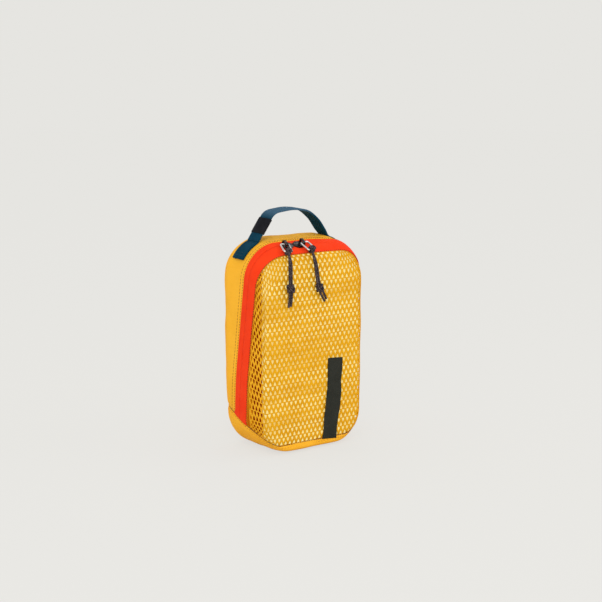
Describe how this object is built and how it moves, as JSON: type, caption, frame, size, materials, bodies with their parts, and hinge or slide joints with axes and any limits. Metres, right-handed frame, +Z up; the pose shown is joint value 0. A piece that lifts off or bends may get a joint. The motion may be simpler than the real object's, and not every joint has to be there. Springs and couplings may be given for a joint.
{
  "type": "small packing cube",
  "caption": "Small soft packing cube standing upright: yellow ripstop fabric, mesh lid with an orange coil zip and two corded sliders, navy webbing handle.",
  "frame": {"origin": "middle of the base, on the surface that the cube stands on", "axes": "+Z up, +X to the right when facing the mesh lid, +Y from the lid towards the back panel"},
  "size_m": [0.111, 0.07, 0.21],
  "materials": {
    "yellow_fabric": "fine ripstop weave, matt with a slight sheen",
    "binding_tape": "plain woven tape, matt",
    "yellow_mesh": "open knitted mesh, matt",
    "orange_tape": "ribbed zip tape, matt",
    "orange_coil": "nylon coil, satin",
    "navy_webbing": "herringbone webbing, slight sheen",
    "black_wrap": "woven satin label, bare",
    "charcoal_label": "woven label, matt, bare",
    "gunmetal": "gunmetal lacquer, glossy",
    "bright_wire": "nickel plated, bright",
    "cord": "braided cord, flecked, matt"
  },
  "bodies": {
    "root": {"back_panel": "yellow_fabric", "upper_gusset": "yellow_fabric", "base_gusset": "yellow_fabric", "rear_piping": "yellow_fabric", "rear_seam_binding": "binding_tape", "base_seam_binding": "binding_tape", "body_seam_binding": "binding_tape", "body_zip_tape": "orange_tape", "body_zip_edge": "orange_tape", "handle_end_left": "navy_webbing", "handle_end_right": "navy_webbing", "handle_fold_left": "navy_webbing", "handle_fold_right": "navy_webbing"},
    "handle": {"handle_strap": "navy_webbing", "handle_wrap": "black_wrap"},
    "lid": {"mesh_panel": "yellow_mesh", "lid_zip_tape": "orange_tape", "lid_zip_coil": "orange_coil", "lid_seam_binding": "binding_tape", "front_label": "charcoal_label"},
    "left_slider": {"left_slider": "gunmetal"},
    "right_slider": {"right_slider": "gunmetal"},
    "left_pull": {"left_puller": "bright_wire", "left_cord_front": "cord", "left_cord_back": "cord", "left_knot": "cord"},
    "right_pull": {"right_puller": "bright_wire", "right_cord_front": "cord", "right_cord_back": "cord", "right_knot": "cord"}
  },
  "joints": [
    {"name": "lid_hinge", "type": "hinge", "parent": "root", "child": "lid", "pos_m": [0, -0.0315, 0.0085], "axis": [1, 0, 0], "range_deg": [0, 88], "deforming": ["body_zip_edge"]},
    {"name": "left_slider_slide", "type": "slide", "parent": "lid", "child": "left_slider", "axis": [1, 0, 0], "range_m": [-0.004, 0]},
    {"name": "right_slider_slide", "type": "slide", "parent": "lid", "child": "right_slider", "axis": [1, 0, 0], "range_m": [0, 0.028]},
    {"name": "left_pull_swing", "type": "hinge", "parent": "left_slider", "child": "left_pull", "pos_m": [-0.022, -0.01757, 0.18282], "axis": [-0.9781, 0.1801, 0.104], "range_deg": [0, 120]},
    {"name": "right_pull_swing", "type": "hinge", "parent": "right_slider", "child": "right_pull", "pos_m": [-0.004, -0.01757, 0.18282], "axis": [-0.9781, -0.1801, -0.104], "range_deg": [0, 120]},
    {"name": "handle_lean", "type": "hinge", "parent": "root", "child": "handle", "pos_m": [0, 0.011, 0.184], "axis": [1, 0, 0], "range_deg": [-25, 25], "stiffness_Nm_per_rad": 0.015, "deforming": ["handle_fold_left", "handle_fold_right"]}
  ]
}
